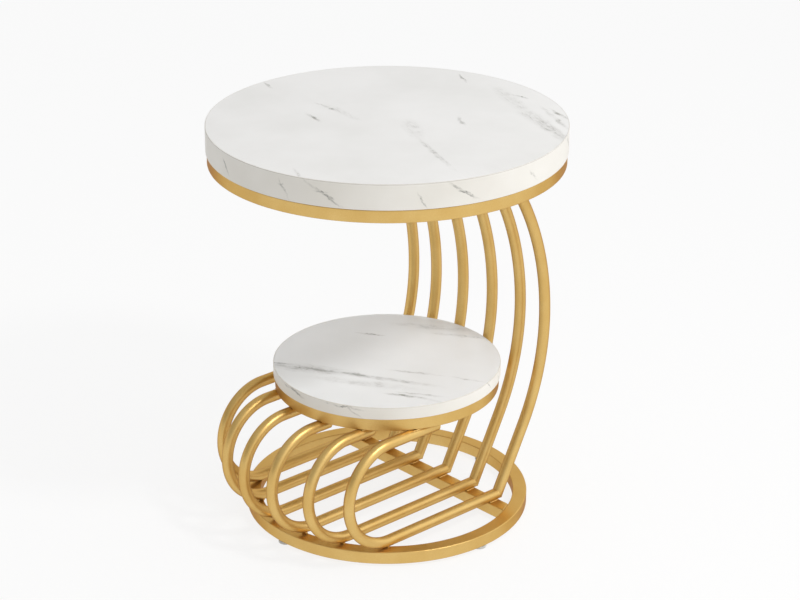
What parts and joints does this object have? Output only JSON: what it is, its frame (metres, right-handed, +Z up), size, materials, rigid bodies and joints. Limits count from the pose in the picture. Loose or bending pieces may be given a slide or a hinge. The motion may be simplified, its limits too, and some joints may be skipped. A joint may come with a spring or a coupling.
{
  "type": "two-tier round side table",
  "caption": "Round side table with a thick marble-look top and a smaller shelf on a gold tube frame: bowed rods at the back, rods curled up at the front, on a ring base with glides.",
  "frame": {"origin": "on the floor, under the centre of the round top", "axes": "+Z up; +Y towards the back, where the bowed tubes stand; -Y towards the curled fronts of the tubes; +X to the right seen from the front"},
  "size_m": [0.5, 0.5, 0.583],
  "materials": {
    "gold_frame": "satin gold lacquer",
    "marble_face": "printed white marble laminate, satin",
    "marble_edge": "printed white marble edge band, satin",
    "board": "fibreboard with a white backing paper",
    "screw": "zinc plated",
    "insert": "turned",
    "foot": "pale translucent plastic"
  },
  "bodies": {
    "root": {"top_board": "board", "top_face_sheet": "marble_face", "top_edge_band": "marble_edge", "top_ring": "gold_frame", "top_crossbar": "gold_frame", "top_lug_1": "gold_frame", "top_lug_2": "gold_frame", "top_lug_3": "gold_frame", "top_lug_4": "gold_frame", "top_screw_1": "screw", "top_screw_2": "screw", "top_screw_3": "screw", "top_screw_4": "screw", "top_insert_1": "insert", "top_insert_2": "insert", "top_insert_3": "insert", "top_insert_4": "insert", "shelf_board": "board", "shelf_face_sheet": "marble_face", "shelf_edge_band": "marble_edge", "shelf_ring": "gold_frame", "shelf_lug_1": "gold_frame", "shelf_lug_2": "gold_frame", "shelf_lug_3": "gold_frame", "shelf_lug_4": "gold_frame", "shelf_screw_1": "screw", "shelf_screw_2": "screw", "shelf_screw_3": "screw", "shelf_screw_4": "screw", "shelf_insert_1": "insert", "shelf_insert_2": "insert", "shelf_insert_3": "insert", "shelf_insert_4": "insert", "bow_tube_1": "gold_frame", "bow_tube_2": "gold_frame", "bow_tube_3": "gold_frame", "bow_tube_4": "gold_frame", "bow_tube_5": "gold_frame", "bow_tube_6": "gold_frame", "loop_tube_1": "gold_frame", "loop_tube_2": "gold_frame", "loop_tube_3": "gold_frame", "loop_tube_4": "gold_frame", "loop_tube_5": "gold_frame", "loop_tube_6": "gold_frame", "base_ring": "gold_frame", "base_crossbar": "gold_frame", "foot_right": "foot", "foot_back": "foot", "foot_left": "foot", "foot_front": "foot"}
  },
  "joints": []
}
